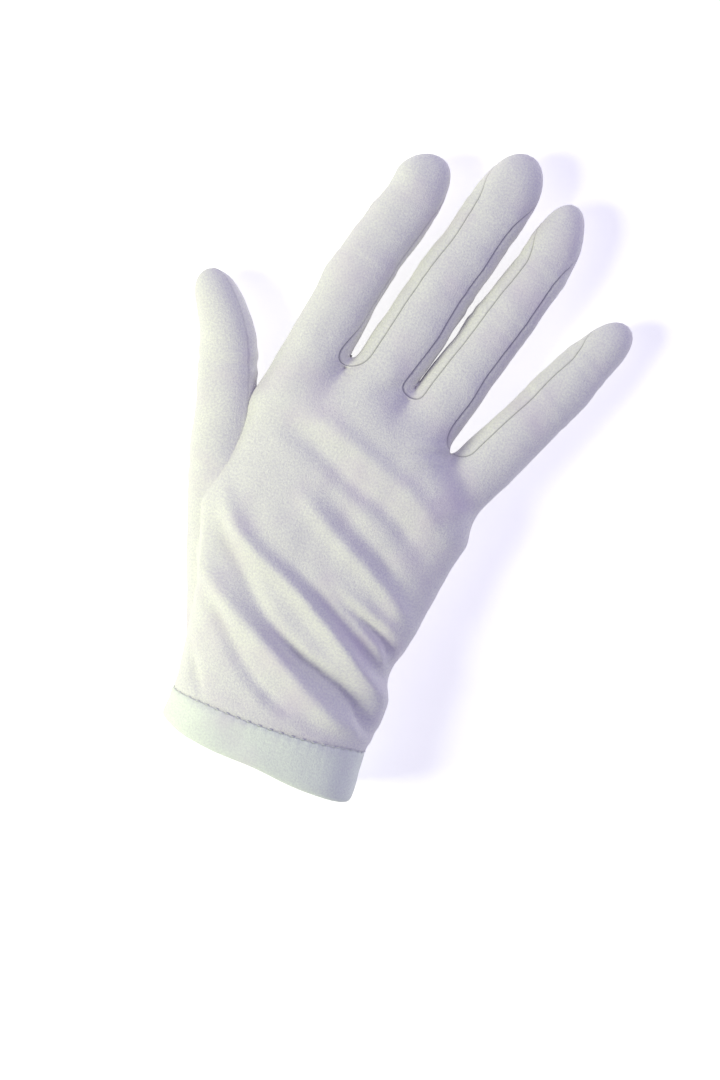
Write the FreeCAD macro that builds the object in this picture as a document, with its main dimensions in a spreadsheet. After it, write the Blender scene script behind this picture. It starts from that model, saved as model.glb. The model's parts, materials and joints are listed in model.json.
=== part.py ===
"""White knit dress glove for a right hand: thin hollow panels that hinge at every finger joint.

Frame: +X towards the little finger, +Y towards the fingertips, +Z out of the back of the hand.
The glove lies palm down, with its palm panel's flat underside on Z = 0.
Each finger is drawn in its own frame (y along the finger, x across it, z up) and then placed.
"""

import FreeCAD, Part
import math
import os

from FreeCAD import Placement, Rotation, Vector

FINGERS = ("index", "middle", "ring", "little")
SEGMENTS = ("base", "middle", "tip")
JOINTS = ("root", "middle", "tip")
# Sides of each finger that carry a fourchette strip: -1 faces the thumb, +1 the little finger.
FORK_SIDES = {"index": (1,), "middle": (-1, 1), "ring": (-1, 1), "little": (-1,)}
# Latitudes of the sections that round a fingertip, in degrees.
CAP_LATITUDES = (0, 30, 55, 75)

doc = FreeCAD.newDocument("dress_glove")
dims = doc.addObject("Spreadsheet::Sheet", "dims")

COMMON_DIMENSIONS = {
    "knit": 1.0,                # wall thickness of every panel
    "centre_x": -7.74,          # middle of the glove's plan, in drawing coordinates
    "centre_y": 99.985,
    "slit": 0.4,                # half of the gap between two finger segments
    "spare_angle": 1.5,         # extra opening of each flex wedge
    "hinge_rise": 0.35,         # height of the hinges above the finger's centreline
    "edge_rise": 0.7,           # height above the centreline where back and palm side meet
    "fold_gap": 0.3,            # space between a palm-side fold and the segment beyond it
    "root_flex": 65.0,
    "middle_flex": 85.0,
    "tip_flex": 42.5,
    "thumb_root_flex": 30.0,
    "thumb_tip_flex": 40.0,
    "fork_half_height": 5.2,    # half the height of a fourchette strip
    "reach": 10.0,              # half depth of the cutters, more than any finger's half thickness
    "stub_length": 22.0,        # how far each finger tube runs back into the palm
    "side_room": 0.6,           # sideways clearance of a moving finger in the palm
    "room_length": 40.0,        # reach of that clearance along and above the finger
    "room_height": 30.0,
    "far": 200.0,               # side of the blocks that cut right through the glove
    "thumb_roll": -20.0,        # turn of the thumb about its own length, in degrees
    "thumb_heel_at": -46.0,     # where the thumb's root begins in the palm, and its half sizes there
    "thumb_heel_w": 6.5,
    "thumb_heel_t": 6.0,
    "thumb_swell_at": -22.0,    # where the thumb's root is fullest
    "thumb_swell_w": 9.4,
    "thumb_swell_t": 9.2,
    "thumb_zone_left": -30.0,   # the block of the hand that counts as the thumb's base
    "thumb_zone_right": 5.5,
    "thumb_zone_start": -48.0,
    "thumb_zone_end": 12.0,
    "thumb_zone_half": 25.0,
    "bevel_side": -11.0,        # corner of the block cut away beside the little finger
    "bevel_start": -3.0,
    "bevel_size": 60.0,
    "crotch_side": 4.0,         # a crotch's block beyond the fingers' edges, behind, below and ahead
    "crotch_back": 14.0,
    "crotch_depth": 16.0,
    "crotch_ahead": 8.0,
    "hem_x": -1.8,
    "hem_z": 20.6,
    "hem_w": 31.2,
    "hem_t": 20.0,
    "hem_start": -2.9,
    "hem_end": 12.5,
    "hem_thickness": 1.8,
    "stitch_inset": 1.2,        # middle of the stitches below the hem's upper edge
    "stitch_lift": 0.02,        # air between a stitch and the hem
    "stitch_length": 2.0,
    "stitch_width": 0.5,
    "stitch_height": 0.35,
    "stitch_pitch": 3.4,
    "seam_height": 21.8,        # height of the outer side seam at the cuff
    "seam_fall": 2.9,           # slope of that seam towards the fingers, in degrees
}

# Heading from +Y towards +X, downward pitch, root hinge place, distances of the other hinges and the
# tip from it, and half width and half thickness at the palm end, the root, the two hinges and the tip.
FINGER_KEYS = ("heading", "pitch", "root_x", "root_y", "root_z", "middle_at", "tip_at", "length",
               "w_palm", "w_root", "w_middle", "w_tip", "w_end",
               "t_palm", "t_root", "t_middle", "t_tip", "t_end")
FINGER_DIMENSIONS = {
    "index": (9.0, 4.6, -31.6, 130.0, 14.2, 24.5, 44.0, 63.5,
              9.6, 9.1, 9.2, 8.6, 8.0, 9.4, 9.0, 8.6, 7.8, 7.0),
    "middle": (12.7, 4.2, -9.2, 128.9, 14.8, 28.0, 52.0, 75.8,
               9.7, 9.5, 9.7, 9.2, 8.7, 9.6, 9.2, 8.8, 8.0, 7.2),
    "ring": (14.6, 4.2, 10.1, 124.1, 14.2, 27.0, 49.5, 71.8,
             9.2, 8.8, 9.0, 8.5, 8.0, 9.1, 8.7, 8.4, 7.6, 6.9),
    "little": (24.0, 4.8, 30.4, 113.5, 13.0, 21.8, 39.0, 58.0,
               8.9, 8.5, 8.3, 7.8, 7.2, 8.8, 8.2, 7.8, 7.0, 6.2),
    "thumb": (-21.5, 2.2, -49.8, 83.7, 11.2, 26.0, 26.0, 54.3,
              9.4, 8.6, 8.1, 7.9, 6.4, 9.2, 8.4, 7.8, 7.6, 6.0),
}

# Sections of the hand from the cuff to the knuckles: y, middle x, half width, middle z, half height.
PALM_KEYS = ("y", "x", "w", "z", "t")
PALM_SECTIONS = (
    (12.6, -2.6, 30.4, 20.2, 19.6),
    (32.0, -4.5, 31.6, 18.2, 18.8),
    (52.0, -7.5, 34.5, 17.0, 18.2),
    (72.0, -5.0, 36.0, 16.0, 17.4),
    (88.0, -3.3, 37.2, 15.4, 16.4),
    (106.0, -3.0, 39.2, 14.8, 14.4),
    (124.0, -0.6, 40.4, 14.2, 10.2),
)


def fill_sheet():
    """Write every driving dimension into the sheet, one named cell each."""
    rows = list(COMMON_DIMENSIONS.items())
    for finger, values in FINGER_DIMENSIONS.items():
        rows += [(f"{finger}_{key}", value) for key, value in zip(FINGER_KEYS, values)]
    for number, values in enumerate(PALM_SECTIONS):
        rows += [(f"palm{number}_{key}", value) for key, value in zip(PALM_KEYS, values)]
    for row, (alias, value) in enumerate(rows, start=1):
        dims.set(f"A{row}", alias)
        dims.set(f"B{row}", str(value))
        dims.setAlias(f"B{row}", alias)
    doc.recompute()


def size(alias):
    return float(dims.get(alias))


def bind(obj, **expressions):
    """Tie properties to the sheet; a double underscore in a name stands for a dot."""
    for name, expression in expressions.items():
        obj.setExpression(name.replace("__", "."), expression)
    return obj


def named(alias):
    return f"dims.{alias}"


def ellipse(name, y, half_width, half_thickness, x="0", z="0"):
    """A section across the y direction, wide along x."""
    obj = doc.addObject("Part::Ellipse", name)
    obj.Placement = Placement(Vector(), Rotation(Vector(1, 0, 0), 90))
    bind(obj, Placement__Base__x=f"({x}) * 1 mm", Placement__Base__y=f"({y}) * 1 mm",
         Placement__Base__z=f"({z}) * 1 mm", MajorRadius=f"({half_width}) * 1 mm",
         MinorRadius=f"({half_thickness}) * 1 mm")
    return obj


def loft(name, sections, placement=None):
    obj = doc.addObject("Part::Loft", name)
    obj.Sections = sections
    obj.Solid = True
    obj.Ruled = True
    if placement is not None:
        obj.Placement = placement
    return obj


def box(name, corner, lengths, placement=None):
    """A box from sheet expressions: its low corner in its own frame and its three side lengths."""
    obj = doc.addObject("Part::Box", name)
    bind(obj, **{side: f"({length}) * 1 mm" for side, length in zip(("Length", "Width", "Height"), lengths)})
    doc.recompute([obj])
    low = Vector(*(obj.evalExpression(f"{value}") for value in corner))
    base = placement if placement is not None else Placement()
    obj.Placement = base * Placement(low, Rotation())
    return obj


def wedge(name, half_width, depth, near, far, near_low, far_low, placement=None):
    """A block below the hinges whose two ends, near and far along y, slope as it goes down."""
    obj = doc.addObject("Part::Wedge", name)
    bind(obj, Xmin=f"-({half_width}) * 1 mm", X2min=f"-({half_width}) * 1 mm",
         Xmax=f"({half_width}) * 1 mm", X2max=f"({half_width}) * 1 mm",
         Ymin="0 mm", Ymax=f"({depth}) * 1 mm",
         Zmin=f"({near}) * 1 mm", Zmax=f"({far}) * 1 mm",
         Z2min=f"({near_low}) * 1 mm", Z2max=f"({far_low}) * 1 mm")
    turn = Placement(Vector(0, 0, size("hinge_rise")), Rotation(Vector(1, 0, 0), -90))
    obj.Placement = (placement if placement is not None else Placement()) * turn
    return obj


def fuse(name, shapes):
    obj = doc.addObject("Part::MultiFuse", name)
    obj.Refine = False
    obj.Shapes = shapes
    return obj


def fuse_each(name, base, tools):
    """Join tools to the base one after the other."""
    for number, tool in enumerate(tools):
        base = fuse(f"{name}{number}", [base, tool])
    return base


def cut_each(name, base, tools):
    """Take tools from the base one after the other."""
    for number, tool in enumerate(tools):
        base = cut(f"{name}{number}", base, tool)
    return base


def cut(name, base, tool):
    obj = doc.addObject("Part::Cut", name)
    obj.Refine = False
    obj.Base = base
    obj.Tool = tool
    return obj


def common(name, base, tool):
    obj = doc.addObject("Part::Common", name)
    obj.Refine = False
    obj.Base = base
    obj.Tool = tool
    return obj


def in_glove(x, y, z):
    """Drawing coordinates to the glove's own frame, whose origin is under the middle of its plan."""
    return Vector(x - size("centre_x"), y - size("centre_y"), z)


def finger_frame(finger):
    """Placement of a finger's own frame: origin on its root hinge."""
    place = in_glove(size(f"{finger}_root_x"), size(f"{finger}_root_y"), size(f"{finger}_root_z"))
    turn = Rotation(Vector(0, 0, 1), -size(f"{finger}_heading"))
    tilt = Rotation(Vector(1, 0, 0), -size(f"{finger}_pitch"))
    roll = Rotation(Vector(0, 1, 0), size("thumb_roll") if finger == "thumb" else 0.0)
    return Placement(place, turn * tilt * roll)


def tangent(flex):
    """Slope of a flex wedge: half the joint's range and a little to spare."""
    return f"tan((dims.{flex} / 2 + dims.spare_angle) * 1 deg)"


def flex_name(finger, joint):
    return f"thumb_{joint}_flex" if finger == "thumb" else f"{joint}_flex"


def tube_sections(finger, skin, tag):
    """Sections of a finger's closed tube, its skin taken off all round."""
    stations = [("-dims.stub_length", "palm"), ("0", "root"),
                (named(f"{finger}_middle_at"), "middle")]
    if finger != "thumb":
        stations.append((named(f"{finger}_tip_at"), "tip"))
    sections = []
    for number, (along, key) in enumerate(stations):
        sections.append(ellipse(f"{finger}_{tag}_section{number}", along,
                                f"dims.{finger}_w_{key} - {skin}", f"dims.{finger}_t_{key} - {skin}"))
    for number, latitude in enumerate(CAP_LATITUDES):
        along = (f"dims.{finger}_length - dims.{finger}_w_end"
                 f" + (dims.{finger}_w_end - {skin}) * sin({latitude} deg)")
        sections.append(ellipse(f"{finger}_{tag}_cap{number}", along,
                                f"(dims.{finger}_w_end - {skin}) * cos({latitude} deg)",
                                f"(dims.{finger}_t_end - {skin}) * cos({latitude} deg)"))
    return sections


def finger_tube(finger):
    """The hollow finger, closed at its tip and open at its palm end."""
    outer = loft(f"{finger}_outer", tube_sections(finger, "0", "outer"))
    inner = loft(f"{finger}_inner", tube_sections(finger, named("knit"), "inner"))
    return cut(f"{finger}_tube", outer, inner)


def finger_slab(finger, segment, near, near_flex, far, far_flex):
    """The block that one segment keeps: upright ends above its hinges, sloping ends below them."""
    half = "2 * dims.reach"
    start = f"({near}) + dims.slit"
    start_low = f"{start} + dims.reach * {tangent(near_flex)}"
    if far_flex is None:
        end = end_low = f"({far}) + dims.reach"
    else:
        end = f"({far}) - dims.slit"
        end_low = f"{end} - dims.reach * {tangent(far_flex)}"
    upper = box(f"{finger}_{segment}_upper", (f"-{half}", start, named("hinge_rise")),
                (f"2 * {half}", f"{end} - ({start})", named("reach")))
    lower = wedge(f"{finger}_{segment}_lower", half, named("reach"), start, end, start_low, end_low)
    return fuse(f"{finger}_{segment}_slab", [upper, lower])


def fold_block(finger, joint, at, flex):
    """What fills the slit and the flex wedge at one hinge."""
    half = "2 * dims.reach"
    near = f"({at}) - dims.slit"
    far = f"({at}) + dims.slit - dims.fold_gap"
    spread = f"dims.reach * {tangent(flex)}"
    upper = box(f"{finger}_{joint}_gap", (f"-{half}", near, named("hinge_rise")),
                (f"2 * {half}", f"{far} - ({near})", named("reach")))
    lower = wedge(f"{finger}_{joint}_wedge", half, named("reach"), near, far,
                  f"{near} - {spread}", f"{far} + {spread}")
    return fuse(f"{finger}_{joint}_block", [upper, lower])


def side_boxes(finger):
    """The bands along a finger's sides that its fourchettes fill."""
    boxes = []
    for side in FORK_SIDES[finger]:
        low_x = "0" if side > 0 else "-2 * dims.reach"
        boxes.append(box(f"{finger}_side{'_right' if side > 0 else '_left'}",
                         (low_x, "-2 * dims.stub_length", "-dims.fork_half_height"),
                         ("2 * dims.reach", f"dims.{finger}_length + 3 * dims.stub_length",
                          "2 * dims.fork_half_height")))
    return boxes


def top_box(finger):
    return box(f"{finger}_top_half", ("-2 * dims.reach", "-2 * dims.stub_length", named("edge_rise")),
               ("4 * dims.reach", f"dims.{finger}_length + 3 * dims.stub_length", named("reach")))


def finger_strips(finger, tube):
    """Split a finger tube lengthwise into its back, its palm side and its fourchettes."""
    sides = side_boxes(finger)
    half = top_box(finger)
    back = cut_each(f"{finger}_back", common(f"{finger}_top", tube, half), sides)
    palm = cut_each(f"{finger}_palm", cut(f"{finger}_under", tube, half), sides)
    forks = common(f"{finger}_fork", tube, sides[0] if len(sides) == 1 else fuse(f"{finger}_sides", sides))
    return {"back": back, "palm": palm, "forks": forks}


def joint_places(finger):
    if finger == "thumb":
        return {"root": "0", "tip": named("thumb_middle_at")}
    return {"root": "0", "middle": named(f"{finger}_middle_at"), "tip": named(f"{finger}_tip_at")}


def build_finger(finger):
    """All nodes of one finger: three segments of three strips, and a fold at each hinge."""
    tube = finger_tube(finger)
    strips = finger_strips(finger, tube)
    places = joint_places(finger)
    ends = [places[joint] for joint in JOINTS] + [named(f"{finger}_length")]
    flexes = [flex_name(finger, joint) for joint in JOINTS] + [None]
    frame = finger_frame(finger)
    nodes = {}
    for number, segment in enumerate(SEGMENTS):
        start, end = ends[number:number + 2]
        slab = finger_slab(finger, segment, start, flexes[number], end, flexes[number + 1])
        for strip, shape in strips.items():
            nodes[f"{finger}_{segment}_{strip}"] = common(f"cut_{finger}_{segment}_{strip}", shape, slab)
    for joint in JOINTS:
        block = fold_block(finger, joint, places[joint], flex_name(finger, joint))
        nodes[f"{finger}_{joint}_fold"] = common(f"cut_{finger}_{joint}_fold", tube, block)
    for obj in nodes.values():
        obj.Placement = frame
    return nodes


def build_thumb():
    """The thumb beyond its root hinge: two whole tubes and a fold at each hinge."""
    tube = finger_tube("thumb")
    places = joint_places("thumb")
    first = finger_slab("thumb", "middle", places["root"], "thumb_root_flex",
                        places["tip"], "thumb_tip_flex")
    last = finger_slab("thumb", "tip", places["tip"], "thumb_tip_flex", named("thumb_length"), None)
    nodes = {"thumb_middle": common("cut_thumb_middle", tube, first),
             "thumb_tip": common("cut_thumb_tip", tube, last)}
    for joint, at in places.items():
        block = fold_block("thumb", joint, at, f"thumb_{joint}_flex")
        nodes[f"thumb_{joint}_fold"] = common(f"cut_thumb_{joint}_fold", tube, block)
    for obj in nodes.values():
        obj.Placement = finger_frame("thumb")
    return nodes


def palm_loft(tag, skin, start_back, end_back):
    """The hand from the cuff to the crotches, its skin taken off all round."""
    sections = []
    last = len(PALM_SECTIONS) - 1
    for number in range(len(PALM_SECTIONS)):
        name = f"dims.palm{number}"
        shift = start_back if number == 0 else (f"-{end_back}" if number == last else "0")
        along = f"{name}_y - dims.centre_y + ({shift})"
        sections.append(ellipse(f"palm_{tag}_section{number}", along, f"{name}_w - {skin}",
                                f"{name}_t - {skin}", x=f"{name}_x - dims.centre_x", z=f"{name}_z"))
    return loft(f"palm_{tag}", sections)


def stub_loft(finger, tag, skin, overrun):
    """The palm end of a finger tube, placed in the hand."""
    sections = [ellipse(f"{finger}_{tag}_stub0", f"-dims.stub_length - {skin}",
                        f"dims.{finger}_w_palm - {skin}", f"dims.{finger}_t_palm - {skin}"),
                ellipse(f"{finger}_{tag}_stub1", overrun,
                        f"dims.{finger}_w_root - {skin}", f"dims.{finger}_t_root - {skin}")]
    return loft(f"{finger}_{tag}_stub", sections, finger_frame(finger))


def thumb_base_loft(tag, skin, overrun):
    """The thumb's root swelling out of the side of the palm."""
    sections = [ellipse(f"thumb_{tag}_base0", named("thumb_heel_at"), f"dims.thumb_heel_w - {skin}",
                        f"dims.thumb_heel_t - {skin}"),
                ellipse(f"thumb_{tag}_base1", named("thumb_swell_at"), f"dims.thumb_swell_w - {skin}",
                        f"dims.thumb_swell_t - {skin}"),
                ellipse(f"thumb_{tag}_base2", overrun, f"dims.thumb_w_root - {skin}",
                        f"dims.thumb_t_root - {skin}")]
    return loft(f"thumb_{tag}_base", sections, finger_frame("thumb"))


def little_bevel(tag, shift):
    """The corner beside the little finger that the palm does not fill."""
    side = named("bevel_size")
    corner = (f"dims.bevel_side - {shift}", f"dims.bevel_start - {shift}", f"-{side}")
    return box(f"little_bevel_{tag}", corner,
               (side, side, f"2 * {side}"), finger_frame("little"))


def hand_solid(tag, skin, start_back, overrun, floor):
    """Palm, finger stubs and thumb root in one closed form that stands flat on the floor height."""
    palm = cut(f"hand_{tag}_palm", palm_loft(tag, skin, start_back, skin), little_bevel(tag, skin))
    room = box(f"hand_{tag}_room", ("-dims.far", "-dims.far", floor),
               ("2 * dims.far", "2 * dims.far", "dims.far"))
    flat = common(f"hand_{tag}_flat", palm, room)
    stubs = [stub_loft(finger, tag, skin, overrun) for finger in FINGERS]
    return fuse_each(f"hand_{tag}", flat, [*stubs, thumb_base_loft(tag, skin, overrun)])


def flex_room(finger):
    """The space in the hand that a finger needs to fold down about its root hinge."""
    frame = finger_frame(finger)
    flex = flex_name(finger, "root")
    half = f"dims.{finger}_w_root + dims.side_room"
    deep = "2 * dims.reach"
    ahead = named("room_length")
    upper = box(f"{finger}_room_upper", (f"-({half})", "-dims.slit", named("hinge_rise")),
                (f"2 * ({half})", ahead, named("room_height")), frame)
    lower = wedge(f"{finger}_room_lower", half, deep, "-dims.slit", ahead,
                  f"-dims.slit - {deep} * {tangent(flex)}", ahead, frame)
    return fuse(f"{finger}_room", [upper, lower])


def crotch_box(number):
    """The band between two neighbouring fingers that a fourchette's rounded end fills."""
    left, right = FINGERS[number], FINGERS[number + 1]
    ahead = -0.5 * (size(f"{left}_heading") + size(f"{right}_heading"))
    turn = Rotation(Vector(0, 0, 1), ahead)
    inner_edge = finger_frame(left).multVec(Vector(size(f"{left}_w_root"), 0, 0))
    outer_edge = finger_frame(right).multVec(Vector(-size(f"{right}_w_root"), 0, 0))
    middle = (inner_edge + outer_edge) * 0.5
    width = (outer_edge - inner_edge).Length
    frame = Placement(middle, turn)
    return box(f"crotch_{left}_{right}",
               (f"-{width / 2} - dims.crotch_side", "-dims.crotch_back", "-dims.crotch_depth"),
               (f"{width} + 2 * dims.crotch_side", "dims.crotch_back + dims.crotch_ahead",
                "dims.crotch_depth + dims.fork_half_height"), frame)


def build_hand():
    """The nodes that stay with the palm."""
    outer = hand_solid("outer", "0", "0", "0", "0")
    inner = hand_solid("inner", named("knit"), "-1", "1", named("knit"))
    rooms = [flex_room(finger) for finger in (*FINGERS, "thumb")]
    shell = cut_each("hand_shell", cut("hand_walls", outer, inner), rooms)
    thumb_zone = box("thumb_zone",
                     (named("thumb_zone_left"), named("thumb_zone_start"), "-dims.thumb_zone_half"),
                     ("dims.thumb_zone_right - dims.thumb_zone_left",
                      "dims.thumb_zone_end - dims.thumb_zone_start", "2 * dims.thumb_zone_half"),
                     finger_frame("thumb"))
    crotches = [crotch_box(number) for number in range(len(FINGERS) - 1)]
    seam = Placement(in_glove(0, size("palm0_y"), size("seam_height")),
                     Rotation(Vector(1, 0, 0), -size("seam_fall")))
    above = box("above_seam", ("-dims.far", "-dims.far", "0"),
                ("2 * dims.far", "2 * dims.far", "dims.far"), seam)
    body = cut_each("hand_body", shell, [thumb_zone, *crotches])
    nodes = {"back_panel": common("cut_back_panel", body, above),
             "palm_panel": cut("cut_palm_panel", body, above),
             "thumb_base": common("cut_thumb_base", shell, thumb_zone)}
    for number, crotch in enumerate(crotches):
        name = f"fork_{FINGERS[number]}_{FINGERS[number + 1]}"
        nodes[name] = common(f"cut_{name}", shell, crotch)
    return nodes


def hem_ring(tag, skin, overrun):
    sections = []
    for end, along in enumerate((f"dims.hem_start - {overrun}", f"dims.hem_end + {overrun}")):
        sections.append(ellipse(f"hem_{tag}{end}", f"{along} - dims.centre_y", f"dims.hem_w - {skin}",
                                f"dims.hem_t - {skin}", x="dims.hem_x - dims.centre_x", z="dims.hem_z"))
    return loft(f"hem_{tag}", sections)


def stitch(number, angle):
    """One stitch lying along the hem at an angle round its ellipse."""
    half_width, half_height = size("hem_w"), size("hem_t")
    middle = in_glove(size("hem_x"), size("hem_end") - size("stitch_inset"), size("hem_z"))
    spot = middle + Vector(half_width * math.cos(angle), 0, half_height * math.sin(angle))
    normal = Vector(half_height * math.cos(angle), 0, half_width * math.sin(angle)).normalize()
    ahead = Vector(0, 1, 0)
    turn = Rotation(ahead, normal.cross(ahead), normal, "ZXY")
    corner = Vector(-size("stitch_width") / 2, -size("stitch_length") / 2, size("stitch_lift"))
    obj = doc.addObject("Part::Box", f"stitch{number}")
    bind(obj, Length="dims.stitch_width * 1 mm", Width="dims.stitch_length * 1 mm",
         Height="dims.stitch_height * 1 mm")
    obj.Placement = Placement(spot + turn.multVec(corner), turn)
    return obj


def build_hem():
    """The turned-up double hem and the row of stitches round its upper edge."""
    ring = cut("cut_cuff_hem", hem_ring("outer", "0", "0"), hem_ring("inner", named("hem_thickness"), "1"))
    wide, high = size("hem_w"), size("hem_t")
    around = math.pi * (3 * (wide + high) - math.sqrt((3 * wide + high) * (wide + 3 * high)))
    count = round(around / size("stitch_pitch"))
    row = doc.addObject("Part::Compound", "stitch_row")
    row.Links = [stitch(number, 2 * math.pi * number / count) for number in range(count)]
    return {"cuff_hem": ring, "hem_stitching": row}


def check_and_write(nodes):
    """Stop if any object failed, then write each node's own STEP file."""
    doc.recompute()
    failed = [obj.Name for obj in doc.Objects if {"Invalid", "Error"} & set(obj.State)]
    if failed:
        raise RuntimeError(f"objects that failed: {failed}")
    os.makedirs("parts", exist_ok=True)
    everything = FreeCAD.BoundBox()
    for name, obj in nodes.items():
        shape = obj.Shape
        if shape.isNull() or not shape.isValid() or not shape.Solids:
            raise RuntimeError(f"{name} has no valid solid")
        obj.Label = name
        shape.exportStep(os.path.join("parts", f"{name}.step"))
        everything.add(shape.BoundBox)
        print(f"{name}: {len(shape.Solids)} solids, {shape.Volume:.1f} mm3")
    print(f"{len(nodes)} nodes, box {everything}")


def print_joints():
    """Hinge centres and axes in the glove's frame, for the record."""
    for finger in (*FINGERS, "thumb"):
        frame = finger_frame(finger)
        axis = frame.Rotation.multVec(Vector(-1, 0, 0))
        for joint, along in joint_places(finger).items():
            at = frame.multVec(Vector(0, 0 if along == "0" else size(along[5:]), size("hinge_rise")))
            print(f"{finger}_{joint} at {at.x:.3f} {at.y:.3f} {at.z:.3f} "
                  f"axis {axis.x:.5f} {axis.y:.5f} {axis.z:.5f}")


fill_sheet()
glove = {}
glove.update(build_hand())
glove.update(build_hem())
for finger_name in FINGERS:
    glove.update(build_finger(finger_name))
glove.update(build_thumb())
check_and_write(glove)
print_joints()
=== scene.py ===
"""White knit dress glove, right hand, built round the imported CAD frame.

Shapes are worked out in millimetres in the frame's own axes (+X little finger, +Y fingertips, +Z back of
the hand) and written to the meshes in metres. The hand's form is one implicit surface. Its back and palm
are meshed inside one plan outline, and strips of knit wrap round the outline's edge from back to palm.
"""

import json
import math

import bpy
import numpy as np
from mathutils import Matrix, Vector
from mathutils.geometry import delaunay_2d_cdt
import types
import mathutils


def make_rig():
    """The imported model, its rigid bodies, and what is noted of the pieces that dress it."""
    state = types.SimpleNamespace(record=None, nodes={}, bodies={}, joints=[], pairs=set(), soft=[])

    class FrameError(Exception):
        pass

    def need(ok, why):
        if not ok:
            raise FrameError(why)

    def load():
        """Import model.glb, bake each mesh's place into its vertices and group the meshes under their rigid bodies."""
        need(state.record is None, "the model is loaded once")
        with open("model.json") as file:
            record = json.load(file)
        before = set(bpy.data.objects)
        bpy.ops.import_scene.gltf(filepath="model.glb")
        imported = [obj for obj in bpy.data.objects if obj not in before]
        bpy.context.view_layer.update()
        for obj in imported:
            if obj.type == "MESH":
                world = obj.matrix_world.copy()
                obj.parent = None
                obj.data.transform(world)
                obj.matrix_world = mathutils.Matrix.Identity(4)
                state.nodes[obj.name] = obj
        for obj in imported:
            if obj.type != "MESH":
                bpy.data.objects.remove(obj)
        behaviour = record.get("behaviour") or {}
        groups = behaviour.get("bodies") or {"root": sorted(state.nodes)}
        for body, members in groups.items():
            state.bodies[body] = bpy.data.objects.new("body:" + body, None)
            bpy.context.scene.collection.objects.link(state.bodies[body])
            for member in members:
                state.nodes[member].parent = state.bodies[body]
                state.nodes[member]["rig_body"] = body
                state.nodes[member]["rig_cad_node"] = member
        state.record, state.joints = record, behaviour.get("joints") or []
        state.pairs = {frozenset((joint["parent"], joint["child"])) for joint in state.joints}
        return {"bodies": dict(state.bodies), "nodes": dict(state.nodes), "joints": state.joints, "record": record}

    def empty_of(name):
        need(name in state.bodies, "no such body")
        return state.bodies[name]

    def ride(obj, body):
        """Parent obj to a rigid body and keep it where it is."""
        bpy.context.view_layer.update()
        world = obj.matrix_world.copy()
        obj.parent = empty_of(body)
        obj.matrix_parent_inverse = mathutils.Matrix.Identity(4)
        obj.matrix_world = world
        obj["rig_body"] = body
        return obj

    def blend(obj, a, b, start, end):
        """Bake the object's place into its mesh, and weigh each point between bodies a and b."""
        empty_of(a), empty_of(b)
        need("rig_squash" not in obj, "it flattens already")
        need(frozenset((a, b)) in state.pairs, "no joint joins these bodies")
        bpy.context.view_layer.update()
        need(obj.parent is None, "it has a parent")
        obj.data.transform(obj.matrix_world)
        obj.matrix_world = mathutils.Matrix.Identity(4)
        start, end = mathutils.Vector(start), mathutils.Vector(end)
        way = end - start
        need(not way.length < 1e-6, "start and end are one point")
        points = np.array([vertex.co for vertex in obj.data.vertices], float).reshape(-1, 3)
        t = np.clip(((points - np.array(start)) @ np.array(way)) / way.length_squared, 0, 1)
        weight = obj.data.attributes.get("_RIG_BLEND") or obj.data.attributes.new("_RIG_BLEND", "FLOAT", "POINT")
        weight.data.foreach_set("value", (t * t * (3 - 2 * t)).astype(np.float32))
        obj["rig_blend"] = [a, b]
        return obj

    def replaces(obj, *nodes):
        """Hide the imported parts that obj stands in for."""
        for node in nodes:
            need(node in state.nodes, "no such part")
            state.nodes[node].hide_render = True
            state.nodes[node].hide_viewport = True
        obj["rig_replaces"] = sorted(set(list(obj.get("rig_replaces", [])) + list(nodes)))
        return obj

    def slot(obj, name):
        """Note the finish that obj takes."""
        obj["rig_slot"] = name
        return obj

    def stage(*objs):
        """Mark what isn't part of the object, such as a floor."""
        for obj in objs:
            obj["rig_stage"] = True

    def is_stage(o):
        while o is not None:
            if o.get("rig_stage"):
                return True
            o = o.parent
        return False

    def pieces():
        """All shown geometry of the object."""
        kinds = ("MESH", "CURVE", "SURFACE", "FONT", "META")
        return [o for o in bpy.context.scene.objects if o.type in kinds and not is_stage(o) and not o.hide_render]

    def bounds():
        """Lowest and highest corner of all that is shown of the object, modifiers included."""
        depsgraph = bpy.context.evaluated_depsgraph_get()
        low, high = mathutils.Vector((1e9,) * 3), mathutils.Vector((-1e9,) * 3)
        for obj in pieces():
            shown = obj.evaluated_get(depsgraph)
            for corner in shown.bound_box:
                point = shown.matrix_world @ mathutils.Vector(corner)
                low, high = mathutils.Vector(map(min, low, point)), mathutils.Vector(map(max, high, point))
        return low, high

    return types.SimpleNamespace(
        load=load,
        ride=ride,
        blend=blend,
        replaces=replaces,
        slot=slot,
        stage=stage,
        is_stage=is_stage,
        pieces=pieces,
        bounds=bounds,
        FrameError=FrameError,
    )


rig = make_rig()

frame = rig.load()
CAD_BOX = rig.bounds()
MM = 0.001
RNG = np.random.default_rng(11)

JOINTS = {j["name"]: j for j in frame["record"]["behaviour"]["joints"]}
KNIT = 0.6              # thickness of one layer
SEAM_INSET = 3.0        # a finger seam's distance inside the finger's outline
MESH_INSET = 4.2        # the plan outline's distance inside the glove's outline
GROOVE = 0.42           # depth of a seam
GRID = 1.25             # spacing of the panels' inner points
ROW_SEAM_UP, ROW_MIDDLE, ROW_SEAM_DOWN, ROW_LAST = 9, 16, 23, 32     # rows of a side strip, back to palm
FINGER_POWER, PALM_POWER = 2.15, 2.25       # of the sections' superellipses
FINGER_BLEND, PALM_BLEND = 0.8, 6.0         # how softly finger runs into finger, and finger into palm
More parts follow.
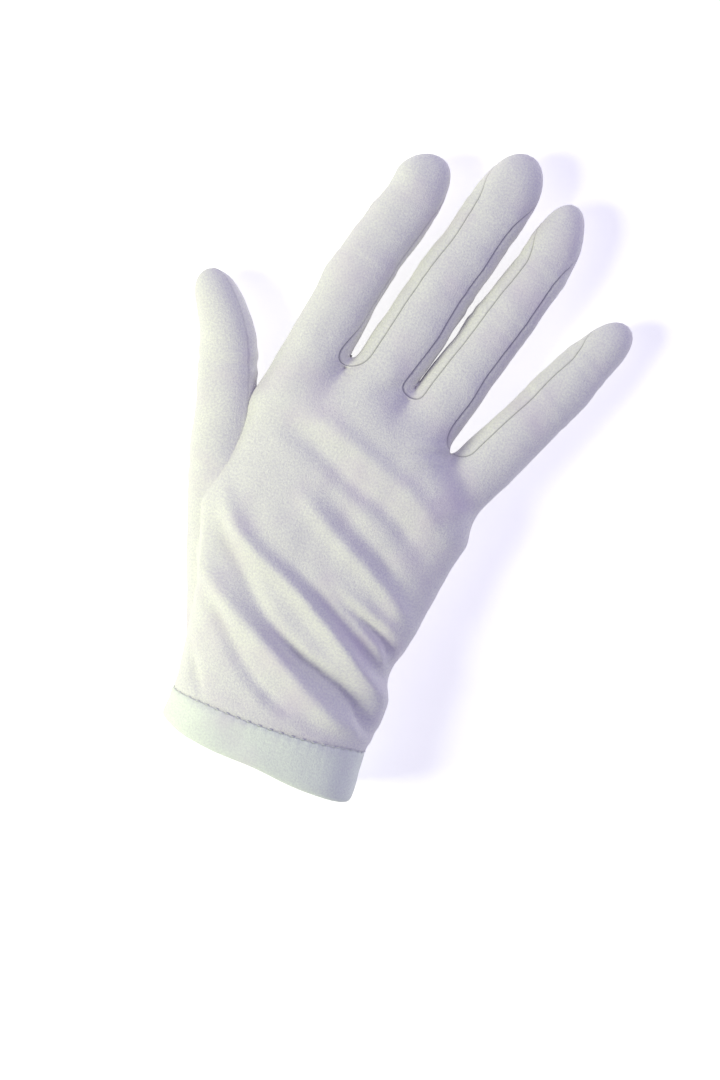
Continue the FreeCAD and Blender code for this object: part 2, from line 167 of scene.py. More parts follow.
# Where the knit turns at a finger's bends: from its root hinge, round its next hinge and round its last,
# all in shares of the way from the root hinge to the next one.
ROOT_TURN, MIDDLE_TURN, TIP_TURN = (-0.11, 0.36), (0.68, 1.32), (-0.25, 0.25)
ROOT_SPLIT = -3.0       # where a finger's first piece and the thumb's middle one start
BASE_SPLIT, THUMB_TIP_SPLIT = 0.52, 0.5     # where the next piece starts, in the same shares
FINGER_HEEL = 18.0      # length over which a finger closes behind its root, inside the palm
FINGERS = ("index", "middle", "ring", "little")
NARROW_CROTCHES = ("index_middle_crotch", "middle_ring_crotch")

# Along the finger from its root hinge: its length, where its tip starts to round (cap), and rows of
# distance, half width, sideways offset and half thickness.
FINGER_SHAPES = {
    "index": dict(length=62.9, cap=51.0, profile=(
        (-26, 8.6, 0.0, 8.0), (-10, 9.3, 0.4, 9.6), (0, 9.6, 0.6, 9.3), (10, 9.6, 0.2, 9.0),
        (17, 9.8, 0.0, 8.9), (25, 9.4, 0.5, 8.7), (33, 9.1, 0.9, 8.2), (41, 9.3, 1.7, 8.0),
        (48, 8.8, 2.6, 7.6), (56, 8.6, 2.2, 7.2), (63, 8.4, 2.6, 7.0))),
    "middle": dict(length=75.2, cap=60.0, profile=(
        (-26, 8.6, 0.0, 8.2), (-10, 9.5, 0.1, 9.9), (0, 9.8, 0.1, 9.6), (14, 10.2, 0.2, 9.4),
        (26, 9.9, -0.2, 9.0), (40, 9.6, 0.2, 8.4), (52, 9.7, 0.0, 8.0), (60, 9.2, 0.3, 7.6),
        (76, 9.0, 0.0, 7.0))),
    "ring": dict(length=70.9, cap=55.0, profile=(
        (-26, 8.2, 0.2, 7.8), (-10, 9.2, 0.2, 9.5), (0, 9.5, 0.0, 9.1), (12, 9.2, -0.2, 8.8),
        (24, 9.1, 0.0, 8.5), (38, 8.8, 0.0, 8.0), (50, 8.3, -0.1, 7.6), (58, 7.9, -0.8, 7.2),
        (66, 7.5, -2.0, 6.9), (72, 7.4, -2.6, 6.8))),
    "little": dict(length=57.3, cap=44.0, profile=(
        (-24, 8.0, -0.3, 7.4), (-8, 8.9, 0.0, 8.6), (0, 9.0, 0.0, 8.5), (8, 8.8, 0.1, 8.2),
        (20, 8.4, 0.2, 7.8), (30, 8.5, 0.0, 7.4), (40, 7.6, -0.3, 7.0), (46, 7.0, -0.2, 6.6),
        (58, 6.9, 0.3, 6.2))),
    "thumb": dict(length=54.4, cap=45.0, profile=(
        (-60, 7.5, 0.8, 7.0), (-44, 8.6, 1.6, 8.0), (-28, 9.2, 2.3, 8.8), (-12, 9.2, 2.4, 8.8),
        (0, 8.9, 2.8, 8.6), (8, 8.8, 3.8, 8.4), (20, 8.7, 4.6, 8.0), (28, 8.3, 4.9, 7.8),
        (36, 7.7, 4.5, 7.5), (42, 7.3, 3.1, 7.2), (48, 6.7, 1.2, 6.8), (54, 6.5, -0.4, 6.2))),
}

# The hand across the palm, from the cuff up: y, left edge, right edge, middle height, half thickness.
PALM_PROFILE = (
    (-110, -26.5, 37.0, 20.4, 20.0), (-95, -26.2, 35.8, 20.4, 20.0), (-88, -26.2, 34.9, 20.3, 19.9),
    (-80, -26.8, 35.6, 19.6, 19.3), (-71, -28.4, 35.2, 18.6, 18.5), (-61, -30.8, 33.6, 17.7, 17.8),
    (-50, -34.8, 35.4, 17.0, 17.1), (-38, -38.8, 37.0, 16.5, 16.6), (-29, -41.2, 38.0, 16.2, 16.3),
    (-22, -39.6, 39.1, 15.9, 16.0), (-12, -37.8, 41.4, 15.5, 15.5), (-2, -37.4, 43.8, 15.1, 14.8),
    (6, -36.2, 45.4, 14.8, 14.2), (14, -34.8, 47.4, 14.5, 13.2), (30, -33.5, 54.0, 14.2, 10.5))
# Where the palm ends between the fingers: x, y.
PALM_END = ((-45, 6), (-34, 18), (-14, 21.5), (7, 20), (22, 11), (34, 1), (48, -3))
PALM_EASE = 15.0        # length over which the palm thins to its end

# Folds pulled across the back towards the little-finger side of the wrist:
# points of the crest or valley, height (negative for a valley), half width.
FOLDS = (
    (((-27, 6), (-11, 4), (8, -2), (23, -8), (33, -15)), 1.5, 3.2),
    (((-31, -2), (-17, -2), (0, -9), (16, -14), (28, -21)), -1.5, 3.0),
    (((-12, -11), (-6, -14), (9, -22), (25, -32)), -1.2, 3.0),
    (((-18, -15), (-10, -19), (7, -28), (18, -33), (27, -39), (33, -44)), 1.9, 2.8),
    (((-36, -22), (-30, -31), (-18, -39), (-7, -43), (2, -47.5), (12, -53), (24, -61), (31, -65.5),
      (35, -70), (36, -74)), 2.8, 2.7),
    (((-37, -36), (-32, -47), (-15, -59), (0, -66), (11, -72), (23, -77), (32, -79)), 2.8, 3.3),
    (((-8, -38), (3, -43), (11, -47.5), (18, -51), (24, -55), (31, -60)), -1.5, 2.4),
    (((4, -39), (12, -43), (19, -45.5), (26, -48.5), (30, -51.5), (32, -56)), -2.1, 1.6),
    (((14, -50), (22, -50.5), (28, -54), (31, -58)), 0.9, 1.4),
    (((4, -37), (11, -40), (21, -43.5), (31, -47)), 0.9, 1.8),
    (((-38, -31), (-20, -46), (-6, -57), (6, -63), (14, -65), (21, -67), (27, -70), (33, -77)), -1.8, 2.6),
    (((-8, -57), (6, -63), (14, -65), (21, -67), (27, -70), (31, -74.5), (34, -79)), -2.3, 1.7),
    (((-32, -50), (-19, -63), (-6, -73), (7, -79)), -1.5, 2.3),
    (((-9, -77), (8, -83), (20, -86)), 0.7, 2.6),
    (((-38, -19), (-41, -30), (-35, -46), (-31, -61)), -1.2, 1.4),
    (((-35, 4), (-37, -5), (-39, -18), (-41, -29)), -1.4, 1.8),
    (((-28, -69), (-23, -78), (-17, -86)), -1.3, 1.3),
    (((36, -74), (38, -79), (35, -84)), 1.2, 3.0),
    (((10, 4), (18, 10), (26, 10)), 0.8, 1.4),
    (((9, -1), (18, 5), (26, 7)), 0.7, 1.4),
    (((-5, 17), (1, 21), (6, 24)), -0.7, 2.2),
    (((22, 8), (28, 1), (33, -9)), 1.5, 4.5),
)
FOLD_RISE = 20.0        # how far a fold takes to reach its full height
PALM_CREASES = (        # the same for the palm side
    (((-30, 0), (0, -6), (30, 2)), -0.8, 2.2),
    (((-30, -8), (-12, -22), (-6, -60)), -0.9, 2.6),
    (((-20, -80), (5, -77), (30, -80)), -0.7, 2.4),
)
# The hem's upper edge, and its lower one on the back and on the palm side: x, y.
HEM_LINE = ((-30, -87.6), (-17, -86.6), (3, -85.9), (18, -84.9), (35, -83.2))
HEM_EDGE = ((-27, -96.0), (-20, -97.8), (-10, -98.4), (5, -98.6), (22, -100.0), (37, -100.0))
HEM_EDGE_BELOW = ((-26, -96.0), (-15, -101.0), (5, -102.7), (22, -102.5), (37, -100.0))
HEM_EASE = 7.0          # folds fade over this length towards the hem
HEM_SEAM = 0.45         # how deep the hem's seam is, and how strong its painted shade, as a share of a finger seam


# ------------ numbers and curves

def smooth_curve(x, table, column):
    """Cubic through one column of a table whose first column rises, level beyond its ends."""
    xs = np.array([row[0] for row in table], float)
    ys = np.array([row[column] for row in table], float)
    slopes = np.gradient(ys, xs)
    x = np.clip(x, xs[0], xs[-1])
    i = np.clip(np.searchsorted(xs, x) - 1, 0, len(xs) - 2)
    gap = xs[i + 1] - xs[i]
    t = (x - xs[i]) / gap
    rise = t * t * (3 - 2 * t)
    start = t * (1 - t) ** 2 * slopes[i] * gap
    end = -t * t * (1 - t) * slopes[i + 1] * gap
    return ys[i] * (1 - rise) + ys[i + 1] * rise + start + end


def smooth_path(points, spacing):
    """Points about evenly spaced along a Catmull-Rom curve through the given ones."""
    p = np.array(points, float)
    steps = np.concatenate([[0], np.cumsum(np.linalg.norm(np.diff(p, axis=0), axis=1))])
    count = max(2, int(round(steps[-1] / spacing)) + 1)
    along = np.linspace(0, steps[-1], count)
    table = [(s, *q) for s, q in zip(steps, p)]
    return np.stack([smooth_curve(along, table, 1 + k) for k in range(p.shape[1])], axis=1)


def smoothstep(x, low, high):
    t = np.clip((x - low) / (high - low), 0, 1)
    return t * t * (3 - 2 * t)


def smooth_min(a, b, k):
    h = np.maximum(k - np.abs(a - b), 0) / k
    return np.minimum(a, b) - h * h * k / 4


def wave_noise(p, scale, seed):
    """Smooth noise about -1 to 1 from a few seeded plane waves."""
    rng = np.random.default_rng(seed)
    total = np.zeros(len(p))
    for _ in range(9):
        direction = rng.normal(size=p.shape[1])
        direction *= rng.uniform(0.6, 1.4) / np.linalg.norm(direction)
        total += np.sin(p @ direction * (2 * math.pi / scale) + rng.uniform(0, 2 * math.pi))
    return total / 4.5


# ------------ the form of the hand

class Finger:
    """One finger's own axes, from its CAD hinges, and its outline."""

    def __init__(self, name):
        names = [f"{name}_{bend}_bend" for bend in ("root", "middle", "tip")]
        joints = [JOINTS[joint] for joint in names if joint in JOINTS]
        spots = [np.array(j["pos_m"]) / MM for j in joints]
        self.root = spots[0]
        self.across = -np.array(joints[0]["axis"], float)
        self.ahead = (spots[-1] - spots[0]) / np.linalg.norm(spots[-1] - spots[0])
        self.up = np.cross(self.across, self.ahead)
        self.hinges = [float((s - spots[0]) @ self.ahead) for s in spots]
        self.length, self.cap, self.profile = (FINGER_SHAPES[name][k] for k in ("length", "cap", "profile"))
        first, last = self.hinges[1], self.hinges[-1]
        self.turns = {"root": [share * first for share in ROOT_TURN],
                      "middle": [share * first for share in MIDDLE_TURN],
                      "tip": [last + share * first for share in TIP_TURN]}
        # Where the knit pieces meet: in the stiff stretches between hinges.
        self.splits = [ROOT_SPLIT, BASE_SPLIT * first,
                       0.5 * (MIDDLE_TURN[1] * first + last + TIP_TURN[0] * first)]
        if name == "thumb":
            self.splits = [THUMB_TIP_SPLIT * first]

    def local(self, p):
        rel = p - self.root
        return rel @ self.ahead, rel @ self.across, rel @ self.up

    def place(self, a, b, c):
        return self.root + np.outer(a, self.ahead) + np.outer(b, self.across) + np.outer(c, self.up)

    def widths(self, a):
        """Half width, sideways offset and half thickness."""
        return [smooth_curve(np.minimum(a, self.length), self.profile, column) for column in (1, 2, 3)]

    def field(self, p, back=-12.0):
        """Below 0 inside the finger; about millimetres near its surface. It starts to close below back."""
        a, b, c = self.local(p)
        w, off, t = self.widths(a)
        tip = np.maximum(a - self.cap, 0) / (self.length - self.cap)
        heel = np.maximum(back - a, 0) / FINGER_HEEL
        n = FINGER_POWER
        q = (np.abs((b - off) / w) ** n + np.abs(c / t) ** n + tip ** n + heel ** n) ** (1 / n)
        return (q - 1) * t


HAND = {name: Finger(name) for name in (*FINGERS, "thumb")}


def palm_section(y):
    """Left and right edge, middle height and half thickness at each height up the hand."""
    return [smooth_curve(y, PALM_PROFILE, column) for column in (1, 2, 3, 4)]


def palm_field(p):
    x, y, z = p.T
    left, right, middle, half = palm_section(y)
    end = smooth_curve(x, PALM_END, 1)
    over = np.maximum(y - (end - PALM_EASE), 0) / PALM_EASE
    n = PALM_POWER
    q = (np.abs((x - 0.5 * (left + right)) / (0.5 * (right - left))) ** n
         + np.abs((z - middle) / half) ** n + over ** n) ** (1 / n)
    return (q - 1) * half


def part_field(p, names):
    """Below 0 inside the palm and these fingers."""
    fingers = HAND[names[0]].field(p)
    for name in names[1:]:
        fingers = smooth_min(fingers, HAND[name].field(p), FINGER_BLEND)
    return smooth_min(fingers, palm_field(p), PALM_BLEND)


def hand_field(p):
    """Below 0 inside the hand without its thumb."""
    return part_field(p, FINGERS)


def surface_normals(p, field):
    step = 0.05
    grad = np.stack([field(p + step * axis) - field(p - step * axis) for axis in np.eye(3)], axis=1)
    return grad / np.maximum(np.linalg.norm(grad, axis=1, keepdims=True), 1e-9)


def cast(origins, directions, field, reach=34.0, step=0.6):
    """First point along each ray where it leaves the form, or the end of its reach."""
    reach = np.broadcast_to(reach, len(origins))
    near = np.zeros(len(origins))
    found = np.zeros(len(origins), bool)
    for distance in np.arange(step, reach.max() + step, step):
        todo = ~found
        if not todo.any():
            break
        outside = (field(origins[todo] + directions[todo] * distance) > 0) | (distance > reach[todo])
        rows = np.flatnonzero(todo)
        near[rows[~outside]] = distance
        found[rows[outside]] = True
    far = near + step
    for _ in range(14):
        middle = 0.5 * (near + far)
        inside = (field(origins + directions * middle[:, None]) < 0) & (middle < reach)
        near = np.where(inside, middle, near)
        far = np.where(inside, far, middle)
    return origins + directions * near[:, None]


def column_heights(xy):
    """Heights of the back and the palm over points of the plan."""
    levels = np.linspace(5, 24, 9)
    depth = np.stack([hand_field(np.column_stack([xy, np.full(len(xy), z)])) for z in levels])
    start = np.column_stack([xy, levels[np.argmin(depth, axis=0)]])
    up = np.tile([0.0, 0.0, 1.0], (len(xy), 1))
    return cast(start, up, hand_field)[:, 2], cast(start, -up, hand_field)[:, 2]


# ------------ the plan outline

SINGLE = 3.5            # half the angle taken by a plain seam between back and palm
WIDE = 80.0             # the same where a fourchette lies between them
INDEX_SEAM = 52.0       # the same for the index finger's fork, which is turned further from view
THUMB_SIDE = 45.0       # the same where the knit goes round the thumb side with no seam
SEAM_GONE = 38.0        # a plain seam that opens to this angle has faded out
FORK_OPEN = 14.0        # a fourchette's two seams are apart from this angle on
STRIP_REACH, STRIP_RISE = 6.2, 26.0     # furthest a side strip stands out from the plan, and up or down
SPACING = 1.0           # between stations


def add_stations(out, points, label, zones, seam):
    """More stations round the plan, clockwise seen from the back of the hand. Zones is one name or one per
    point, and so is seam: half the angle between the two seams of the side strip."""
    zones = [zones] * len(points) if isinstance(zones, str) else zones
    out.extend(zip(points, [label] * len(points), zones, np.broadcast_to(seam, len(points))))


def side_curve(finger, a, side):
    w, off, _ = finger.widths(a)
    b = off + side * (w - MESH_INSET)
    return finger.place(a, b, 0 * a)[:, :2]


def side_foot(name, side):
    """Where one side of a finger starts."""
    return side_curve(HAND[name], np.array([HAND[name].splits[0]]), side)[0]


def zone_of(finger, a):
    first, second = finger.splits[1], finger.splits[2]
    return np.where(a < first, "base", np.where(a < second, "middle", "tip"))


def finger_outline(out, name):
    """Up the thumb side of a finger, round its tip and down the other side."""
    finger = HAND[name]
    stops = [*finger.splits, finger.cap]
    a = [stops[0]]
    for low, high in zip(stops[:-1], stops[1:]):
        a.extend(np.linspace(low, high, max(2, int(round((high - low) / SPACING)) + 1))[1:])
    a = np.array(a)
    zones = [f"{name}_{z}" for z in zone_of(finger, a + 1e-6)]
    forked = {"index": (False, True), "little": (True, False)}.get(name, (True, True))

    def fork_seam(at):
        widest = INDEX_SEAM if name == "index" else WIDE
        seam = WIDE + (widest - WIDE) * smoothstep(at, -3, 10)
        return seam + (SINGLE - seam) * smoothstep(at, finger.cap - 12, finger.cap + 9) ** 2

    for number, side in enumerate((-1, 1)):
        if forked[number]:
            seam = fork_seam(a)
        elif name == "index":
            seam = THUMB_SIDE + (SINGLE - THUMB_SIDE) * smoothstep(a, finger.cap - 30, finger.cap + 4)
        else:
            seam = np.full(len(a), SINGLE)
        label = f"{name}_fork" if forked[number] else f"{name}_side"
        if side < 0:
            add_stations(out, side_curve(finger, a, side), f"{label}_in", zones, seam)
            turn = np.linspace(math.pi, 0, 21)[1:-1]
            w, _, _ = finger.widths(np.array([finger.cap]))
            along = finger.cap + (finger.length - finger.cap - MESH_INSET) * np.sin(turn)
            _, off, _ = finger.widths(along)
            tip = finger.place(along, off + (w - MESH_INSET) * np.cos(turn), 0 * along)[:, :2]
            near_fork = np.where(np.cos(turn) < 0, forked[0], forked[1])
            seam = np.where(near_fork, fork_seam(along), SINGLE)
            add_stations(out, tip, f"{name}_end", f"{name}_tip", seam)
        else:
            add_stations(out, side_curve(finger, a, side)[::-1], f"{label}_out", zones[::-1], seam[::-1])


def crotch_outline(out, left, right, handles):
    """The rounded end of the space between two fingers, drawn out along each by its handle."""
    start, end = side_foot(left, 1), side_foot(right, -1)
    down = start - HAND[left].ahead[:2] * handles[0]
    up = end - HAND[right].ahead[:2] * handles[1]
    t = np.linspace(0, 1, 20)[1:-1, None]
    curve = (1 - t) ** 3 * start + 3 * t * (1 - t) ** 2 * down + 3 * t * t * (1 - t) * up + t ** 3 * end
    add_stations(out, curve, f"{left}_{right}_crotch", "hand", WIDE)


def hem_height(x, table=HEM_LINE):
    return smooth_curve(x, table, 1)


def palm_edge(column, sign, heights, low):
    """Points of the palm's outline, moved in by the mesh inset, and the lowest one, on the hem's line."""
    y = np.array([*heights, low], float)
    x = smooth_curve(y, PALM_PROFILE, column) - sign * MESH_INSET
    y[-1] = hem_height(x[-1])
    return list(np.column_stack([x, y]))


def build_outline():
    """Places, labels, zones and seams of the stations: up the thumb side, round the fingers and down."""
    out = []
    radial = [*palm_edge(1, -1, range(10, -81, -10), -91.0)[::-1], side_foot("index", -1)]
    add_stations(out, smooth_path(radial, SPACING)[:-1], "radial", "hand", THUMB_SIDE)
    finger_outline(out, "index")
    for left, right, handles in (("index", "middle", (7.5, 7.0)), ("middle", "ring", (5.5, 5.0)),
                                 ("ring", "little", (12.5, 7.5))):
        crotch_outline(out, left, right, handles)
        finger_outline(out, right)
    ulnar = [side_foot("little", 1), *palm_edge(2, 1, (2, -8, -18, -28, -38, -48, -58, -66, -74), -86.0)]
    add_stations(out, smooth_path(ulnar, SPACING)[1:], "ulnar", "hand", SINGLE)
    points, labels, zones, seams = zip(*out)
    return np.array(points), labels, zones, np.array(seams)


def outward(points):
    """Outward directions of an open clockwise chain, smoothed a little."""
    ahead = np.gradient(points, axis=0)
    normal = np.column_stack([-ahead[:, 1], ahead[:, 0]])
    normal /= np.linalg.norm(normal, axis=1, keepdims=True)
    for _ in range(2):
        normal[1:-1] = normal[:-2] + 2 * normal[1:-1] + normal[2:]
        normal /= np.linalg.norm(normal, axis=1, keepdims=True)
    return normal


# ------------ folds and wrinkles

def path_distance(xy, points):
    """Distance to a path, how far along it the nearest point is, and the path's length."""
    path = smooth_path(points, 1.0)
    best = np.full(len(xy), 1e9)
    along = np.zeros(len(xy))
    for number, spot in enumerate(path):
        d = np.hypot(xy[:, 0] - spot[0], xy[:, 1] - spot[1])
        closer = d < best
        best[closer] = d[closer]
        along[closer] = number
    return best, along, len(path) - 1.0


def back_relief(p):
    """Height that the folds add to the back of the hand. Each rises from its start and fades to its end."""
    xy = p[:, :2]
    total = np.zeros(len(p))
    for points, height, width in FOLDS:
        d, along, length = path_distance(xy, points)
        rise = min(FOLD_RISE, 0.7 * length)
        fade = smoothstep(along, -1.0, rise) * (1 - 0.6 * smoothstep(along, 0.85 * length, length))
        total += height * fade * np.exp(-(d / width) ** 2)
    total += 0.22 * wave_noise(xy, 26, 3) + 0.1 * wave_noise(xy, 11, 4)
    return total * smoothstep(xy[:, 1] - hem_height(xy[:, 0]), 0.0, HEM_EASE)


def finger_relief(p):
    """Small cross wrinkles where the fingers bend."""
    total = np.zeros(len(p))
    for finger in HAND.values():
        a, b, _ = finger.local(p)
        near = finger.field(p) < 3
        for number, hinge in enumerate(finger.hinges[1:]):
            wave = np.sin((a - hinge) * 1.35 + 0.12 * b + number) * np.exp(-((a - hinge) / 5.5) ** 2)
            total += np.where(near, 0.07 * wave, 0)
    return total + 0.16 * wave_noise(p, 17, 6) + 0.06 * wave_noise(p, 7, 5)


def palm_relief(p):
    """Soft creases on the palm side."""
    xy = p[:, :2]
    total = 0.35 * wave_noise(xy * [1.0, 1.5], 30, 7) + 0.12 * wave_noise(xy, 9, 8)
    for points, height, width in PALM_CREASES:
        d = path_distance(xy, points)[0]
        total += height * np.exp(-(d / width) ** 2)
    return total * smoothstep(xy[:, 1] - hem_height(xy[:, 0]), 0.0, HEM_EASE)


def rest_on_floor(p, floor=0.3):
    """Ease what would sink under the floor onto it."""
    z = p[:, 2] - floor
    p[:, 2] = floor + 0.5 * (z + np.sqrt(z * z + 0.5))
    return p


# ------------ the glove's skin

def inside_polygon(points, polygon):
    x, y = points[:, 0], points[:, 1]
    inside = np.zeros(len(points), bool)
    for p, q in zip(polygon, np.roll(polygon, -1, axis=0)):
        crosses = (p[1] > y) != (q[1] > y)
        with np.errstate(divide="ignore", invalid="ignore"):
            at = (q[0] - p[0]) * (y - p[1]) / (q[1] - p[1]) + p[0]
        inside ^= crosses & (x < at)
    return inside


def plan_mesh(boundary, cuts):
    """Triangles of the plan: boundary points first, then the inner ones. Cuts are index pairs to join."""
    cut_points, cut_edges = [], []
    count = len(boundary)
    for i, j in cuts:
        ends = boundary[i], boundary[j]
        steps = max(2, int(round(np.linalg.norm(ends[1] - ends[0]) / GRID)))
        share = np.arange(1, steps)[:, None] / steps
        row = list(range(count + len(cut_points), count + len(cut_points) + steps - 1))
        cut_points.extend(ends[0] + share * (ends[1] - ends[0]))
        chain = [i, *row, j]
        cut_edges.extend(zip(chain[:-1], chain[1:]))
    low, high = boundary.min(0), boundary.max(0)
    xs = np.arange(low[0], high[0], GRID)
    ys = np.arange(low[1], high[1], GRID * math.sqrt(0.75))
    gx, gy = np.meshgrid(xs, ys)
    gx[1::2] += GRID / 2
    grid = np.column_stack([gx.ravel(), gy.ravel()])
    grid += RNG.uniform(-0.12, 0.12, grid.shape)
    grid = grid[inside_polygon(grid, boundary)]
    fixed = np.array([*boundary, *cut_points])
    keep = np.ones(len(grid), bool)
    for spot in fixed:
        keep &= np.hypot(grid[:, 0] - spot[0], grid[:, 1] - spot[1]) > 0.72 * GRID
    points = np.vstack([fixed, grid[keep]])
    edges = [(k, (k + 1) % count) for k in range(count)] + cut_edges
    verts, _, faces, origin, _, _ = delaunay_2d_cdt([Vector(p) for p in points], edges, [], 1, 1e-6)
    if len(verts) != len(points):
        raise RuntimeError("the plan outline crosses itself")
    order = [o[0] for o in origin]
    return points, [[order[i] for i in face] for face in faces]


def strip_angles(seam, column_half):
    """Angles of a side strip's rows at one station, from straight up to straight down. Rows lie close on
    both sides of a seam."""
    open_angle = math.degrees(math.atan2(column_half, MESH_INSET - SEAM_INSET))
    share = (seam - SINGLE) / (WIDE - SINGLE)
    seam_angle = SINGLE + share * (open_angle - SINGLE)
    margin = 4.6 - 1.8 * share
    top = np.linspace(90, seam_angle + margin, ROW_SEAM_UP)
    inner = np.linspace(max(seam_angle - margin, 0.55 * seam_angle), 0, ROW_MIDDLE - ROW_SEAM_UP)
    half = np.concatenate([top, [seam_angle], inner])
    return np.concatenate([half, -half[-2::-1]])


def groove_depths(label, seam):
    """How far each row of a side strip is pulled in by its seam, from 0 to 1, which also sets the painted shade in the
    seam's groove.
    """
    depth = np.zeros(ROW_LAST + 1)
    if "_side_" in label or label in ("radial", "ulnar"):
        depth[ROW_SEAM_UP:ROW_SEAM_DOWN + 1] = 1 - smoothstep(seam, SINGLE, SEAM_GONE)
    else:
        depth[[ROW_SEAM_UP, ROW_SEAM_DOWN]] = 1.0
        depth[ROW_SEAM_UP + 1:ROW_SEAM_DOWN] = 1 - smoothstep(seam, SINGLE, FORK_OPEN)
    return depth


class Skin:
    """All outer vertices of the hand part of the glove and its faces, tagged by piece."""

    def __init__(self):
        self.plan, self.label, self.zone, self.seam = build_outline()
        self.normal = outward(self.plan)
        self.count = len(self.plan)
        self.make_panels()
        self.make_strip()
        self.displace()

    def cut_pairs(self):
        """Station pairs joined across each finger where its pieces meet."""
        pairs = []
        for name in FINGERS:
            for split in HAND[name].splits:
                near = []
                for end, side in (("_in", -1), ("_out", 1)):
                    rows = [k for k, label in enumerate(self.label)
                            if label.startswith(f"{name}_") and label.endswith(end)]
                    place = side_curve(HAND[name], np.array([split]), side)[0]
                    near.append(min(rows, key=lambda k: np.hypot(*(self.plan[k] - place))))
                pairs.append(tuple(near))
        return pairs

    def make_panels(self):
        steps = int(round(np.linalg.norm(self.plan[-1] - self.plan[0]) / SPACING))
        x = np.linspace(self.plan[-1][0], self.plan[0][0], steps + 1)[1:-1]
        boundary = np.vstack([self.plan, np.column_stack([x, hem_height(x)])])
        self.hem_ids = list(range(self.count, len(boundary)))
        self.points, self.triangles = plan_mesh(boundary, self.cut_pairs())
        self.top, self.bottom = column_heights(self.points)

    def make_strip(self):
        middle = 0.5 * (self.top + self.bottom)[:self.count]
        half = 0.5 * (self.top - self.bottom)[:self.count]
        self.angles = np.array([strip_angles(s, h) for s, h in zip(self.seam, half)])
        origins = np.repeat(np.column_stack([self.plan, middle]), ROW_LAST + 1, axis=0)
        phi = np.radians(self.angles).ravel()
        flat = np.repeat(self.normal, ROW_LAST + 1, axis=0)
        directions = np.column_stack([flat * np.cos(phi)[:, None], np.sin(phi)])
        touching = np.repeat([self.fingers_at(label) for label in self.label], ROW_LAST + 1)
        reach = 1 / np.hypot(np.cos(phi) / STRIP_REACH, np.sin(phi) / STRIP_RISE)
        self.strip = np.zeros_like(origins)
        for group in sorted(set(touching)):
            rows = touching == group
            self.strip[rows] = cast(origins[rows], directions[rows],
                                    lambda p: part_field(p, group.split("+")), reach[rows])
        self.strip = self.strip.reshape(self.count, ROW_LAST + 1, 3)
        steps = np.linalg.norm(np.diff(self.strip, axis=1), axis=2)
        self.arc = np.concatenate([np.zeros((self.count, 1)), np.cumsum(steps, axis=1)], axis=1)

    def fingers_at(self, label):
        """The fingers whose form a station's side strip follows, joined by +."""
        if label in ("radial", "ulnar"):
            return "+".join(FINGERS)
        if label.endswith("_crotch"):
            return "+".join(label.split("_")[:2])
        return label.split("_")[0]

    def displace(self):
        """Folds, seams and wrinkles, and the vertex numbering shared by panels and strip."""
        n = self.n_plan = len(self.points)
        top = np.column_stack([self.points, self.top])
        bottom = np.column_stack([self.points, self.bottom])
        inner = self.strip[:, 1:-1].reshape(-1, 3)
        everything = np.vstack([top, bottom, inner])
        normals = surface_normals(everything, hand_field)
        phi = self.angles[:, 1:-1].ravel()
        facing = np.concatenate([np.ones(n), -np.ones(n), np.sin(np.radians(phi))])
        up_share = smoothstep(facing, -0.35, 0.5)
        groove = np.array([groove_depths(lab, s) for lab, s in zip(self.label, self.seam)])[:, 1:-1].ravel()
        # painted shade: the seam share deepens the grooves and also darkens the knit in them
        self.seam_groove_and_shade = np.concatenate([np.zeros(2 * n), groove])
        self.seam_groove_and_shade[self.hem_loop()] = HEM_SEAM
        push = up_share * back_relief(everything) + (1 - up_share) * palm_relief(everything)
        push += finger_relief(everything) - GROOVE * self.seam_groove_and_shade
        self.vertices = rest_on_floor(everything + normals * push[:, None])
        self.ease_crotches()

    def ease_crotches(self):
        """Even out the strip in the two narrow crotches, along its rows only, so that the seams stay."""
        inner = self.vertices[2 * self.n_plan:].reshape(self.count, ROW_LAST - 1, 3)
        narrow = np.array([label in NARROW_CROTCHES for label in self.label], float)
        near = np.convolve(narrow, np.ones(9) / 9, "same")[1:-1]
        row = np.arange(1, ROW_LAST)
        deep = smoothstep(row, 3, 12) * (1 - smoothstep(row, ROW_LAST - 12, ROW_LAST - 3))
        share = 0.5 * (near[:, None] * deep)[:, :, None]
        for _ in range(20):
            inner[1:-1] += share * (0.5 * (inner[:-2] + inner[2:]) - inner[1:-1])

    def strip_id(self, station, row):
        if row == 0:
            return station
        if row == ROW_LAST:
            return self.n_plan + station
        return 2 * self.n_plan + station * (ROW_LAST - 1) + row - 1

    def panel_zone(self, centre):
        for name in FINGERS:
            finger = HAND[name]
            a, b, _ = finger.local(np.array([[*centre, finger.root[2]]]))
            w, off, _ = finger.widths(a)
            if a[0] > finger.splits[0] and abs(b[0] - off[0]) < w[0]:
                return f"{name}_{zone_of(finger, a)[0]}"
        return "hand"

    def strip_kind(self, label, row):
        if ROW_SEAM_UP <= row < ROW_SEAM_DOWN:
            if "_fork_" in label:
                return "forks"
            if label.endswith("_crotch"):
                return label
        return "back" if row < ROW_MIDDLE else "palm"

    def faces(self):
        """Every face as its corners, its piece and its corners' places in the fabric."""
        for tri in self.triangles:
            corners = self.points[tri]
            zone = self.panel_zone(corners.mean(0))
            area = np.cross(corners[1] - corners[0], corners[2] - corners[0])
            up = tri if area > 0 else tri[::-1]
            fabric = [tuple(self.points[i]) for i in up]
            yield up, (zone, "back"), fabric
            yield [self.n_plan + i for i in up[::-1]], (zone, "palm"), fabric[::-1]
        for k in range(self.count - 1):
